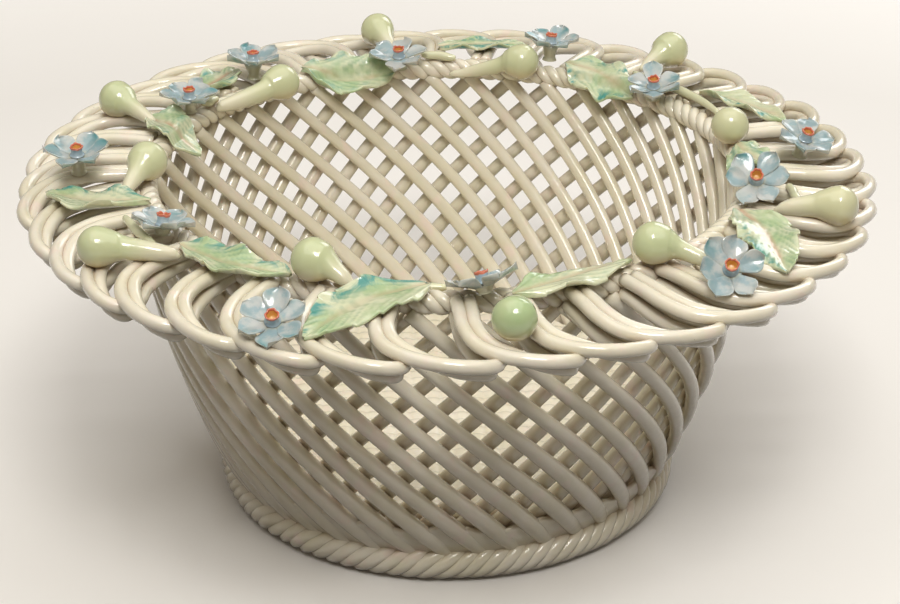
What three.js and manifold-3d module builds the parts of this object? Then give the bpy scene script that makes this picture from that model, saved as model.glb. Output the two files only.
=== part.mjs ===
// Openwork porcelain basket: a lattice bowl on a rope foot, with a looped rim, buds, flowers and leaves.
// Millimetres, +Z up, the foot stands on z = 0 and the axis of the bowl is the Z axis.
import * as THREE from "three";
import { mergeVertices } from "three/addons/utils/BufferGeometryUtils.js";
import Module from "manifold-3d";

const wasm = await Module();
wasm.setup();

// Fit between pieces
const seatGap = 0.3;
const settleReach = 6.0;
const settleRounds = 14;
const layerGap = 0.4;

// Foot and floor: the insets of the foot are measured from the bottom radius of the wall
const footHeight = 8.7;
const footFlatInset = 2.0;
const footFlatWidth = 5.2;
const footBulge = 0.8;
const footBulgeHeightShare = 0.53;
const footChamferInset = 0.2;
const footChamferHeightShare = 0.184;
const footTopInset = 0.1;
const footTopWidth = 5.7;
const floorTopHeight = 18.0;
const floorThickness = 3.4;

// Wall of the bowl: the radius of its outer skin at three heights
const wallTopHeight = 76.3;
const wallBottomRadius = 55.8;
const wallMiddleRadius = 67.8;
const wallTopRadius = 73.9;
const wallMiddleShare = 0.49;
const wallBottomHeight = footHeight + seatGap;
const wallRise = wallTopHeight - wallBottomHeight;
const wallMiddleHeight = wallBottomHeight + wallMiddleShare * wallRise;

// Lattice strands: the sweep is how far a strand turns from the foot to the mouth
const strandCount = 42;
const strandWidth = 3.4;
const strandDepth = 2.4;
const strandSides = 5;
const strandSteps = 4;
const strandSweep = 55.14;
const innerStrandTurn = 2.4;
const outerStrandTurn = 4.0;
const strandPhaseShare = 0.758;
const hoopHeight = 2.6;
const hoopDepth = 3.2;
const outerInset = 0;
const innerInset = hoopDepth + layerGap;

// Mouth rope
const ropeInset = 3.4;
const ropeThickness = 5.4;
const ropeSides = 6;
const ropeSegments = 72;
const ropeRadius = wallTopRadius - ropeInset;
const ropeHeight = wallTopHeight + seatGap + ropeThickness / 2;

// Rim loops
const rimWidth = 24.0;
const loopPairWidth = 5.8;
const loopThickness = 3.0;
const loopSides = 6;
const legRise = 4.1;
const legFacetShare = 1.2;
const rimHoopWidth = 2.5;
const rimHoopInner = ropeRadius + ropeThickness / 2 + seatGap;
const rimHoopOuter = rimHoopInner + rimHoopWidth;
const rimRadius = rimHoopOuter + rimWidth;
const rimHoopBottom = wallTopHeight + seatGap;
const legTopHeight = rimHoopBottom + legRise;
const rimHoopTop = legTopHeight + loopThickness / 2;
const rimEdgeDropShare = 0.867;
const rimEdgeHeight = legTopHeight - rimEdgeDropShare * loopThickness;

// Turn of each loop's rounded tip in degrees: the loops were laid by hand, so their spacing varies
const loopTurns = [
  5.5, 13.9, 24.3, 33.8, 43.0, 52.4, 62.5, 72.2, 82.2, 91.6, 101.3, 110.0, 119.3, 129.4, 139.3, 149.2, 159.0, 168.6,
  177.9, 187.2, 194.8, 204.3, 214.4, 223.8, 231.4, 241.4, 250.4, 261.0, 271.2, 283.1, 291.7, 301.5, 311.6, 318.8,
  329.2, 337.8, 347.0, 356.4,
];

// Where a loop runs: its turn in degrees from its tip, how much of the uneven spacing to the next loop it takes up,
// its reach as a share from the hoop to the edge, and its drop as a share of the loop thickness
const loopPath = [
  { turn: -9.6, nextShare: 0, reachShare: 0, dropShare: 0 },
  { turn: -9.5, nextShare: 0, reachShare: 0.459, dropShare: 0 },
  { turn: -8.2, nextShare: 0, reachShare: 0.727, dropShare: 0.233 },
  { turn: -4.8, nextShare: 0, reachShare: 0.919, dropShare: 0.5 },
  { turn: -0.8, nextShare: 0.1, reachShare: 1, dropShare: 0.867 },
  { turn: 2.3, nextShare: 0.4, reachShare: 0.933, dropShare: 1.367 },
  { turn: 2.9, nextShare: 0.7, reachShare: 0.772, dropShare: 1.667 },
  { turn: 0.9, nextShare: 1, reachShare: 0.526, dropShare: 1.5 },
  { turn: -0.1, nextShare: 1, reachShare: 0, dropShare: 0.6 },
];

// Buds
const budRadius = 4.9;
const budSeatShare = 0.837;
const budNeckRadius = 2.4;
const budNeckReach = 5.8;
const budStemRadius = 1.5;
const budLength = 18.0;
const budSides = 8;

// Twigs
const twigRadius = 1.4;
const twigSides = 5;
const twigSteps = 4;

// Flowers
const flowerFootRadius = 1.7;
const flowerThroatRadius = 2.5;
const flowerThroatHeight = 5.0;
const petalCount = 6;
const petalReach = 8.2;
const petalShoulderReach = 6.6;
const petalNotchReach = 3.0;
const petalShoulderAngle = 17;
const petalThickness = 1.0;
const petalCup = 2.4;
const centreRadius = 2.1;
const centreBore = 1.2;
const centreHeight = 2.6;

// Leaves
const leafLength = 28.0;
const leafWidth = 12.0;
const leafThickness = 1.1;
const leafSteps = 7;
const leafFold = 1.1;
const leafHangShare = 1.2;
const leafWidthShares = [0.2, 0.72, 0.86, 1.0, 0.84, 0.78, 0.44, 0.1];

// Where the ornaments sit: turn and aim in degrees. The reach share runs from the middle of the rope to the edge of
// the rim, and below zero it counts rope thicknesses towards the axis
const buds = [
  { turn: 158.8, reachShare: 0.583, aim: 317, lengthShare: 0.72 },
  { turn: 189.2, reachShare: -0.111, aim: 252, lengthShare: 0.67 },
  { turn: 216.5, reachShare: 0.729, aim: 2, lengthShare: 0.83 },
  { turn: 247.0, reachShare: 0.003, aim: 332, lengthShare: 0.56 },
  { turn: 278.6, reachShare: 0.668, aim: 80, lengthShare: 0.56 },
  { turn: 307.8, reachShare: 0.034, aim: 350, lengthShare: 0.78 },
  { turn: 339.2, reachShare: 0.749, aim: 170, lengthShare: 0.61 },
  { turn: 10.1, reachShare: -0.278, aim: 75, lengthShare: 0.56 },
  { turn: 49.5, reachShare: 0.675, aim: 222, lengthShare: 0.56 },
  { turn: 72.9, reachShare: -0.944, aim: 168, lengthShare: 0.94 },
  { turn: 102.6, reachShare: 0.529, aim: 292, lengthShare: 0.56 },
  { turn: 131.0, reachShare: -1.056, aim: 222, lengthShare: 1 },
];
const flowers = [
  { turn: 185.6, reachShare: 0.517, riseShare: 1, lean: 8, toward: 270, spin: 10 },
  { turn: 215.6, reachShare: 0.184, riseShare: 0.5, lean: 12, toward: 60, spin: 0 },
  { turn: 247.8, reachShare: 0.717, riseShare: 0.8, lean: 25, toward: 270, spin: 25 },
  { turn: 276.2, reachShare: 0.147, riseShare: 0.5, lean: 26, toward: 125, spin: 0 },
  { turn: 312.7, reachShare: 0.553, riseShare: 0.9, lean: 38, toward: 270, spin: 5 },
  { turn: 343.9, reachShare: 0.075, riseShare: 0.9, lean: 38, toward: 265, spin: 0 },
  { turn: 2.3, reachShare: 0.444, riseShare: 1, lean: 18, toward: 310, spin: 15 },
  { turn: 39.5, reachShare: -0.506, riseShare: 0.76, lean: 15, toward: 262, spin: 28 },
  { turn: 68.5, reachShare: 0.103, riseShare: 1, lean: 4, toward: 20, spin: 0 },
  { turn: 100.7, reachShare: -0.593, riseShare: 0.76, lean: 12, toward: 255, spin: 20 },
  { turn: 132.8, reachShare: 0.1, riseShare: 1, lean: 4, toward: 90, spin: 40 },
  { turn: 154.1, reachShare: 0.022, riseShare: 0.8, lean: 4, toward: 300, spin: 12 },
];
const leaves = [
  { turn: 196.1, reachShare: 0.384, aim: 160, lengthShare: 0.9, widthShare: 0.8 },
  { turn: 163.5, reachShare: -0.3, aim: 330, lengthShare: 0.55, widthShare: 0.85 },
  { turn: 139.5, reachShare: 0.254, aim: 66, lengthShare: 0.6, widthShare: 0.67 },
  { turn: 232.0, reachShare: 0.1, aim: 329, lengthShare: 1.02, widthShare: 0.83 },
  { turn: 258.9, reachShare: 0.377, aim: 220, lengthShare: 1.12, widthShare: 1.05 },
  { turn: 112.8, reachShare: -0.4, aim: 14, lengthShare: 0.86, widthShare: 0.75 },
  { turn: 83.4, reachShare: 0.27, aim: 6, lengthShare: 0.82, widthShare: 0.67 },
  { turn: 55.2, reachShare: -0.4, aim: 316, lengthShare: 0.79, widthShare: 0.83 },
  { turn: 24.5, reachShare: 0.339, aim: 319, lengthShare: 0.96, widthShare: 0.63 },
  { turn: 1.0, reachShare: 0.024, aim: 287, lengthShare: 0.46, widthShare: 0.75 },
  { turn: 326.0, reachShare: 0.39, aim: 283, lengthShare: 1.04, widthShare: 1.05 },
  { turn: 291.4, reachShare: 0.02, aim: 35, lengthShare: 1.08, widthShare: 0.83 },
];

const twigs = [
  { turn: 206.5, reachShare: 0.3, endTurn: 219.0, endReachShare: 0.33 },
  { turn: 257.0, reachShare: -0.65, endTurn: 270.0, endReachShare: -0.65 },
  { turn: 347.0, reachShare: 0.32, endTurn: 341.0, endReachShare: 0.45 },
  { turn: 22.2, reachShare: 0.068, endTurn: 49.5, endReachShare: 0.125 },
  { turn: 88.2, reachShare: -0.278, endTurn: 95.5, endReachShare: 0.003 },
  { turn: 146.6, reachShare: -0.185, endTurn: 150.6, endReachShare: -0.1 },
];

// Materials
function glaze(colour, roughness) {
  return new THREE.MeshStandardMaterial({ color: colour, roughness, metalness: 0 });
}
const creamColour = 0xe9e0c9;
const budColour = 0xc8d3a0;
const leafColour = 0x98bd8e;
const petalColour = 0xaec4cf;
const coralColour = 0xd9704a;
const glazeRoughness = 0.16;
const ornamentRoughness = 0.22;

const degree = Math.PI / 180;

// Manifold helpers
function toSolid(geometry) {
  const bare = geometry.index ? geometry.toNonIndexed() : geometry.clone();
  bare.deleteAttribute("normal");
  bare.deleteAttribute("uv");
  const merged = mergeVertices(bare, 1e-4);
  return new wasm.Manifold(
    new wasm.Mesh({
      numProp: 3,
      vertProperties: merged.attributes.position.array,
      triVerts: new Uint32Array(merged.index.array),
    }),
  );
}

function toGeometry(solid) {
  const mesh = solid.getMesh();
  const geometry = new THREE.BufferGeometry();
  geometry.setAttribute("position", new THREE.BufferAttribute(new Float32Array(mesh.vertProperties), 3));
  geometry.setIndex(new THREE.BufferAttribute(new Uint32Array(mesh.triVerts), 1));
  geometry.computeVertexNormals();
  return geometry;
}

function unite(geometries) {
  return toGeometry(wasm.Manifold.union(geometries.map(toSolid)));
}

// A closed ring turned from a profile of [radius, height] points that runs counter-clockwise
function turnedRing(profile, segments) {
  const points = profile.map(([radius, height]) => new THREE.Vector2(radius, height));
  points.push(points[0].clone());
  const geometry = new THREE.LatheGeometry(points, segments, Math.PI / 2);
  geometry.rotateX(Math.PI / 2);
  return geometry;
}

// A solid turned from a profile that starts and ends on the axis
function turnedSolid(profile, segments) {
  const points = profile.map(([radius, height]) => new THREE.Vector2(radius, height));
  const geometry = new THREE.LatheGeometry(points, segments, Math.PI / 2);
  geometry.rotateX(Math.PI / 2);
  return geometry;
}

// An oval section with the given half sizes, with a flat side towards the first axis
function ovalShape(halfAcross, halfAlong, sides) {
  const shape = new THREE.Shape();
  for (let side = 0; side < sides; side += 1) {
    const angle = (2 * Math.PI * side) / sides;
    const across = halfAcross * Math.sin(angle);
    const along = halfAlong * Math.cos(angle);
    if (side === 0) shape.moveTo(across, along);
    else shape.lineTo(across, along);
  }
  shape.closePath();
  return shape;
}

// A smooth path whose steps fall on its own points and whose section keeps facing one way
class FacingPath extends THREE.CatmullRomCurve3 {
  constructor(points, facing) {
    super(points);
    this.facing = facing;
  }

  getUtoTmapping(share) {
    return share;
  }

  computeFrenetFrames(steps) {
    const frames = { tangents: [], normals: [], binormals: [] };
    for (let step = 0; step <= steps; step += 1) {
      const tangent = this.getTangentAt(step / steps);
      const normal = this.facing(this.getPointAt(step / steps));
      normal.addScaledVector(tangent, -normal.dot(tangent)).normalize();
      frames.tangents.push(tangent);
      frames.normals.push(normal);
      frames.binormals.push(new THREE.Vector3().crossVectors(tangent, normal));
    }
    return frames;
  }
}

function facingOut(point) {
  return new THREE.Vector3(point.x, point.y, 0).normalize();
}

function facingUp() {
  return new THREE.Vector3(0, 0, 1);
}

function onPath(points, facing, shape) {
  const path = new FacingPath(points, facing);
  return new THREE.ExtrudeGeometry(shape, { steps: points.length - 1, bevelEnabled: false, extrudePath: path });
}

function around(radius, turnDegrees, height) {
  const angle = turnDegrees * degree;
  return new THREE.Vector3(radius * Math.cos(angle), radius * Math.sin(angle), height);
}

// Radius of the outer skin of the wall at a height: a parabola through the three given radii
function wallRadius(height) {
  const low = (height - wallMiddleHeight) * (height - wallTopHeight);
  const middle = (height - wallBottomHeight) * (height - wallTopHeight);
  const high = (height - wallBottomHeight) * (height - wallMiddleHeight);
  const lowScale = (wallBottomHeight - wallMiddleHeight) * (wallBottomHeight - wallTopHeight);
  const middleScale = (wallMiddleHeight - wallBottomHeight) * (wallMiddleHeight - wallTopHeight);
  const highScale = (wallTopHeight - wallBottomHeight) * (wallTopHeight - wallMiddleHeight);
  return (
    (wallBottomRadius * low) / lowScale +
    (wallMiddleRadius * middle) / middleScale +
    (wallTopRadius * high) / highScale
  );
}

// Turn of a strand at a height, from where it stands at the phase share of the wall's rise
function strandTurn(direction, height) {
  return direction * strandSweep * ((height - wallBottomHeight) / wallRise - strandPhaseShare);
}

// One lattice layer: slanting strands between a bottom hoop and a top hoop
function latticeLayer(inset, direction, phaseTurn) {
  const firstHeight = wallBottomHeight + hoopHeight / 2;
  const lastHeight = wallTopHeight - hoopHeight / 2;
  const points = [];
  for (let step = 0; step <= strandSteps; step += 1) {
    const height = firstHeight + ((lastHeight - firstHeight) * step) / strandSteps;
    const reach = wallRadius(height) - inset - hoopDepth / 2;
    points.push(around(reach, phaseTurn + strandTurn(direction, height), height));
  }
  const strand = onPath(points, facingOut, ovalShape(strandDepth / 2, strandWidth / 2, strandSides));
  const pieces = [];
  for (let index = 0; index < strandCount; index += 1) {
    const copy = strand.clone();
    copy.rotateZ(((360 * index) / strandCount) * degree);
    pieces.push(copy);
  }
  const lowHoop = layerHoop(inset, wallBottomHeight);
  lowHoop.rotateZ(facetTurn(phaseTurn + strandTurn(direction, wallBottomHeight + hoopHeight)));
  const highHoop = layerHoop(inset, wallTopHeight - hoopHeight);
  highHoop.rotateZ(facetTurn(phaseTurn + strandTurn(direction, wallTopHeight - hoopHeight)));
  return unite([...pieces, lowHoop, highHoop]);
}

// Turns a hoop so that a strand at the given angle meets the middle of one of its facets
function facetTurn(turnDegrees) {
  return (turnDegrees + 180 / strandCount) * degree;
}

// The hoop of a layer, its facets touching the wall radius at their middles
function layerHoop(inset, bottom) {
  const top = bottom + hoopHeight;
  const reach = (height, depth) => (wallRadius(height) - inset - depth) / Math.cos(Math.PI / strandCount);
  return turnedRing(
    [
      [reach(bottom, hoopDepth), bottom],
      [reach(bottom, 0), bottom],
      [reach(top, 0), top],
      [reach(top, hoopDepth), top],
    ],
    strandCount,
  );
}

function footRing() {
  const flatOuter = wallBottomRadius - footFlatInset;
  const topOuter = wallBottomRadius - footTopInset;
  return turnedRing(
    [
      [flatOuter - footFlatWidth, 0],
      [flatOuter, 0],
      [wallBottomRadius - footChamferInset, footChamferHeightShare * footHeight],
      [wallBottomRadius + footBulge, footBulgeHeightShare * footHeight],
      [topOuter, footHeight],
      [topOuter - footTopWidth, footHeight],
    ],
    ropeSegments,
  );
}

function floorPlate() {
  const underside = floorTopHeight - floorThickness;
  const radius = wallRadius(underside) - innerInset - hoopDepth - seatGap;
  return turnedSolid(
    [
      [0, underside],
      [radius, underside],
      [radius, floorTopHeight],
      [0, floorTopHeight],
    ],
    strandCount,
  );
}

function mouthRope() {
  const profile = [];
  for (let side = 0; side < ropeSides; side += 1) {
    const angle = (2 * Math.PI * (side + 1 / 2)) / ropeSides;
    profile.push([
      ropeRadius + (ropeThickness / 2) * Math.cos(angle),
      ropeHeight + (ropeThickness / 2) * Math.sin(angle),
    ]);
  }
  return turnedRing(profile, ropeSegments);
}

// Turn of a knot of a loop
function knotTurn(index, { turn, nextShare }) {
  const spacing = 360 / loopTurns.length;
  const nextTurn = loopTurns[(index + 1) % loopTurns.length];
  const toNext = THREE.MathUtils.euclideanModulo(nextTurn - loopTurns[index], 360);
  return loopTurns[index] + turn + nextShare * (toNext - spacing);
}

// Hoop that carries the loops, with a facet of its own behind each leg
function rimHoop() {
  const legHalfTurn = (legFacetShare * Math.asin(loopPairWidth / 2 / rimHoopOuter)) / degree;
  const outline = (radius) =>
    loopTurns.flatMap((loopTurn) => {
      const legTurn = loopTurn + loopPath[0].turn;
      return [around(radius, legTurn - legHalfTurn, 0), around(radius, legTurn + legHalfTurn, 0)];
    });
  const shape = new THREE.Shape(outline(rimHoopOuter));
  shape.holes.push(new THREE.Path(outline(rimHoopInner)));
  const hoop = new THREE.ExtrudeGeometry(shape, { depth: rimHoopTop - rimHoopBottom, bevelEnabled: false });
  hoop.translate(0, 0, rimHoopBottom);
  return hoop;
}

// Rim of flat loops, the return leg of each hidden under the rising leg of the next
function rimLoops() {
  const first = (rimHoopInner + rimHoopOuter) / 2;
  const last = rimRadius - loopPairWidth / 2;
  const pieces = loopTurns.map((loopTurn, index) => {
    const points = loopPath.map((knot) => {
      const reach = THREE.MathUtils.lerp(first, last, knot.reachShare);
      return around(reach, knotTurn(index, knot), legTopHeight - knot.dropShare * loopThickness);
    });
    return onPath(points, facingUp, ovalShape(loopThickness / 2, loopPairWidth / 2, loopSides));
  });
  return unite([...pieces, rimHoop()]);
}

// Reach from the axis for the reach share of an ornament
function ornamentReach(reachShare) {
  return ropeRadius + reachShare * (reachShare < 0 ? ropeThickness : rimRadius - ropeRadius);
}

// Height of the surface that an ornament rests on: over the rope and the rim, and hanging down inside the rope
function seatHeight(reach) {
  const ropeHalf = ropeThickness / 2;
  const inward = ropeRadius - reach;
  if (inward > ropeHalf) return ropeHeight + seatGap - leafHangShare * (inward - ropeHalf);
  if (inward > 0) return ropeHeight + seatGap + Math.sqrt(ropeHalf * ropeHalf - inward * inward);
  const fall = (legTopHeight - rimEdgeHeight) / (rimRadius - rimHoopOuter);
  const flatTop = legTopHeight + (loopThickness / 2) * Math.cos(Math.PI / loopSides);
  const loopTop = flatTop - fall * Math.max(0, reach - rimHoopOuter);
  return Math.max(ropeHeight + ropeHalf, loopTop) + seatGap;
}

// Height of the middle of a bud: on top of what carries it, or against the inner shoulder of the rope
function budHeight(reach) {
  const inward = Math.max(0, ropeRadius - reach);
  const apart = ropeThickness / 2 + seatGap + budRadius;
  const onShoulder = ropeHeight + Math.sqrt(Math.max(0, apart * apart - inward * inward));
  return Math.min(onShoulder, seatHeight(Math.max(reach, ropeRadius)) + budSeatShare * budRadius);
}

// A round bud with a tapering stem, lying on its side and flattened where it rests
function bud(place) {
  const reach = ornamentReach(place.reachShare);
  const length = place.lengthShare * budLength;
  const geometry = turnedSolid(
    [
      [0, -budRadius],
      [budRadius * Math.sin(45 * degree), -budRadius * Math.cos(45 * degree)],
      [budRadius, 0],
      [budRadius * Math.sin(50 * degree), budRadius * Math.cos(50 * degree)],
      [budNeckRadius, budNeckReach],
      [budStemRadius, length],
      [0, length],
    ],
    budSides,
  );
  geometry.rotateY(Math.PI / 2);
  geometry.rotateZ(place.aim * degree);
  const centre = around(reach, place.turn, budHeight(reach));
  geometry.translate(centre.x, centre.y, centre.z);
  const position = geometry.attributes.position;
  for (let index = 0; index < position.count; index += 1) {
    const rest = seatHeight(Math.hypot(position.getX(index), position.getY(index)));
    position.setZ(index, Math.max(position.getZ(index), rest));
  }
  return geometry;
}

// A twig that lies along the top of the wall, from one spray to the next
function twig(place) {
  const points = [];
  for (let step = 0; step <= twigSteps; step += 1) {
    const share = step / twigSteps;
    const reach = ornamentReach(THREE.MathUtils.lerp(place.reachShare, place.endReachShare, share));
    const turn = THREE.MathUtils.lerp(place.turn, place.endTurn, share);
    points.push(around(reach, turn, seatHeight(reach) + twigRadius));
  }
  return onPath(points, facingUp, ovalShape(twigRadius, twigRadius, twigSides));
}

// Outline of the six petals
function petalShape() {
  const shape = new THREE.Shape();
  const corners = [
    { reach: petalNotchReach, angle: -180 / petalCount },
    { reach: petalShoulderReach, angle: -petalShoulderAngle },
    { reach: petalReach, angle: 0 },
    { reach: petalShoulderReach, angle: petalShoulderAngle },
  ];
  for (let petal = 0; petal < petalCount; petal += 1) {
    corners.forEach(({ reach, angle }, corner) => {
      const turn = (angle + (360 * petal) / petalCount) * degree;
      const across = reach * Math.cos(turn);
      const along = reach * Math.sin(turn);
      if (petal === 0 && corner === 0) shape.moveTo(across, along);
      else shape.lineTo(across, along);
    });
  }
  shape.closePath();
  return shape;
}

function flowerBody(throatHeight) {
  const petals = new THREE.ExtrudeGeometry(petalShape(), { depth: petalThickness, bevelEnabled: false });
  const position = petals.attributes.position;
  for (let index = 0; index < position.count; index += 1) {
    const share = Math.hypot(position.getX(index), position.getY(index)) / petalReach;
    position.setZ(index, position.getZ(index) + petalCup * share * share);
  }
  petals.translate(0, 0, throatHeight - petalThickness);
  const funnel = turnedSolid(
    [
      [0, 0],
      [flowerFootRadius, 0],
      [flowerFootRadius, throatHeight / 3],
      [flowerThroatRadius, throatHeight],
      [0, throatHeight],
    ],
    petalCount,
  );
  return unite([petals, funnel]);
}

function flowerCentre(throatHeight) {
  const bottom = throatHeight + seatGap + petalThickness / 2;
  return turnedRing(
    [
      [centreBore, bottom],
      [centreRadius, bottom],
      [centreRadius, bottom + centreHeight],
      [centreBore, bottom + centreHeight],
    ],
    petalCount,
  );
}

// A toothed leaf, folded along its midrib and draped over what carries it
function leaf(place) {
  const length = place.lengthShare * leafLength;
  const width = place.widthShare * leafWidth;
  const geometry = new THREE.BoxGeometry(length, 1, 1, leafSteps, 2, 1);
  const position = geometry.attributes.position;
  const centre = around(ornamentReach(place.reachShare), place.turn, 0);
  const aim = place.aim * degree;
  for (let index = 0; index < position.count; index += 1) {
    const along = position.getX(index);
    const side = position.getY(index) * 2;
    const widthShare = leafWidthShares[Math.round((along / length + 1 / 2) * leafSteps)];
    const across = (side * width * widthShare) / 2;
    const x = centre.x + along * Math.cos(aim) - across * Math.sin(aim);
    const y = centre.y + along * Math.sin(aim) + across * Math.cos(aim);
    const rise = (position.getZ(index) + 1 / 2) * leafThickness + Math.abs(side) * widthShare * leafFold;
    position.setXYZ(index, x, y, seatHeight(Math.hypot(x, y)) + rise);
  }
  return geometry;
}

// How far a geometry has to rise, or sink below zero, to stand the seat gap clear of what carries it
function settlingRise(geometry, carriers) {
  let solid = toSolid(geometry);
  let rise = 0;
  for (let round = 0; round < settleRounds; round += 1) {
    const gap = Math.min(...carriers.map((carrier) => solid.minGap(carrier, settleReach)));
    solid = solid.translate([0, 0, seatGap - gap]);
    rise += seatGap - gap;
  }
  return rise;
}

function named(name, geometry, material) {
  const mesh = new THREE.Mesh(geometry, material);
  mesh.name = name;
  return mesh;
}

function numbered(name, index) {
  return name + "_" + String(index + 1).padStart(2, "0");
}

const basket = new THREE.Group();
basket.add(named("floor", floorPlate(), glaze(creamColour, glazeRoughness)));
basket.add(named("foot_ring", footRing(), glaze(creamColour, glazeRoughness)));
basket.add(
  named("lattice_inner", latticeLayer(innerInset, 1, innerStrandTurn), glaze(creamColour, glazeRoughness)),
);
basket.add(
  named("lattice_outer", latticeLayer(outerInset, -1, outerStrandTurn), glaze(creamColour, glazeRoughness)),
);
const rope = mouthRope();
const rim = rimLoops();
basket.add(named("mouth_rope", rope, glaze(creamColour, glazeRoughness)));
basket.add(named("rim_loops", rim, glaze(creamColour, glazeRoughness)));

const carriers = [toSolid(rope), toSolid(rim)];

function addSettled(name, geometry, colour) {
  geometry.translate(0, 0, settlingRise(geometry, carriers));
  basket.add(named(name, geometry, glaze(colour, ornamentRoughness)));
}

buds.forEach((place, index) => {
  addSettled(numbered("bud", index), bud(place), budColour);
});

twigs.forEach((place, index) => {
  addSettled(numbered("twig", index), twig(place), budColour);
});

leaves.forEach((place, index) => {
  addSettled(numbered("leaf", index), leaf(place), leafColour);
});

flowers.forEach((place, index) => {
  const reach = ornamentReach(place.reachShare);
  const throatHeight = place.riseShare * flowerThroatHeight;
  const flower = new THREE.Group();
  flower.position.copy(around(reach, place.turn, seatHeight(reach)));
  const axis = new THREE.Vector3(-Math.sin(place.toward * degree), Math.cos(place.toward * degree), 0);
  flower.quaternion.setFromAxisAngle(axis, place.lean * degree);
  const body = flowerBody(throatHeight);
  body.rotateZ(place.spin * degree);
  flower.add(named(numbered("flower", index), body, glaze(petalColour, ornamentRoughness)));
  flower.add(named(numbered("flower_centre", index), flowerCentre(throatHeight), glaze(coralColour, ornamentRoughness)));
  flower.updateMatrixWorld(true);
  flower.position.z += settlingRise(body.clone().applyMatrix4(flower.matrixWorld), carriers);
  basket.add(flower);
});

export default basket;
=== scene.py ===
import math

import bpy
import numpy as np
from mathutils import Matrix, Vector


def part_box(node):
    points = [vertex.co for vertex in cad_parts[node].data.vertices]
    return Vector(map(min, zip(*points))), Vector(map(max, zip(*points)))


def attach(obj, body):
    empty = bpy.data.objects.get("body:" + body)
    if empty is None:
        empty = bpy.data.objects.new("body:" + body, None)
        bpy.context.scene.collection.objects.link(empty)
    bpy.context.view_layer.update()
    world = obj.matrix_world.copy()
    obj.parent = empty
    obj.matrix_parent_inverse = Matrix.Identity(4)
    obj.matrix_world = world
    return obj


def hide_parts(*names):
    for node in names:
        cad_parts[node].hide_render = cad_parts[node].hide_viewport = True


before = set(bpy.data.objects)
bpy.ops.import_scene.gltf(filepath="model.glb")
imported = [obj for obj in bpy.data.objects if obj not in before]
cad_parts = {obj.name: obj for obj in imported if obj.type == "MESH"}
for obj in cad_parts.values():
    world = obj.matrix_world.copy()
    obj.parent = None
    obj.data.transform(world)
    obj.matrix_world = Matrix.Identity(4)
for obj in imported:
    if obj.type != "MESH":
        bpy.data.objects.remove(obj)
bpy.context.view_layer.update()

# Sizes are in millimetres. Turns and aims are in degrees, anticlockwise from +X as seen from above.
# A reach is a distance from the axis of the bowl, and a share runs from 0 to 1 along a piece.
MM = 0.001
BODY = "root"
SEED = 20
UP = np.array((0.0, 0.0, 1.0))

# Wall: the cubic that gives its radius from the share of its height
WALL_CUBIC = (51.445, 38.169, -15.338, -0.415)
WALL_HEIGHT = 76.0

# Strands: each turns by STRAND_SLANT degrees a millimetre of height, and is at its phase at STRAND_LEVEL
STRANDS = 42
STRAND_DEPTH = 3.1
STRAND_SLANT = 0.82
STRAND_LEVEL = 60
STRAND_STATIONS = 46
ROD_SIDES = 14

# Low band that joins the strands above the foot, with a wavy upper edge
BAND_TOP = 15.4
BAND_WAVE = 0.22
BAND_WAVE_COUNTS = (7, 13, 42, 42, 61)
BAND_STATIONS = 336

# Mouth rope and foot rope
ROPE_RADIUS = 70.5
ROPE_HEIGHT = 79.3
ROPE_HALF = 2.75
ROPE_WAVE = 0.05
ROPE_WAVE_COUNTS = (5, 9, 14, 23, 31)
FOOT_RADIUS = 52.0
FOOT_HEIGHT = 4.35

# Rim loops: the turn of each tip, and knots of a loop's path that give turn from the tip, share of the uneven
# spacing, reach and height
LOOP_TURNS = (
    5.5, 13.9, 24.3, 33.8, 43.0, 52.4, 62.5, 72.2, 82.2, 91.6, 101.3, 110.0, 119.3, 129.4, 139.3, 149.2,
    159.0, 168.6, 177.9, 187.2, 194.8, 204.3, 214.4, 223.8, 231.4, 241.4, 250.4, 261.0, 271.2, 283.1,
    291.7, 301.5, 311.6, 318.8, 329.2, 337.8, 347.0, 356.4,
)
LOOP_KNOTS = (
    (-9.6, 0.0, 72.6, 80.7), (-9.6, 0.0, 79.0, 80.9), (-9.5, 0.0, 85.0, 80.7), (-8.2, 0.0, 91.0, 80.0),
    (-4.8, 0.05, 95.5, 79.1), (-0.8, 0.2, 97.7, 78.1), (2.0, 0.4, 97.2, 77.2), (3.2, 0.6, 94.7, 76.2),
    (2.6, 0.8, 91.0, 75.7), (1.0, 1.0, 87.0, 76.1), (0.1, 1.0, 82.0, 77.0), (-0.1, 1.0, 76.0, 77.8),
    (-0.15, 1.0, 72.6, 78.0),
)
LOOP_INNER_REACH = 72.6
LOOP_OUTER_REACH = 97.7
LOOP_STATIONS = 72
LOOP_STRAND = 1.5
LOOP_STRAND_GAP = 0.88
LOOP_ROLL = 54
LOOP_SHEAR = 1.6
LOOP_SHEAR_TURN = 225

# What ornaments rest on: the top of the rim, which falls outward, and the rope
RIM_TOP = 82.5
RIM_FALL = 0.108
RIM_FALL_REACH = 76
ROPE_CLEARANCE = 0.25

# Woven floor
WEAVE_PITCH = 3.6
WEAVE_WAVE = 0.42
WEAVE_CROWN = 0.75
WEAVE_HALF = 0.56
WEAVE_INSET = 0.1
FLOOR_REACH = 52.3
FLOOR_CELLS = 190

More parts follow.
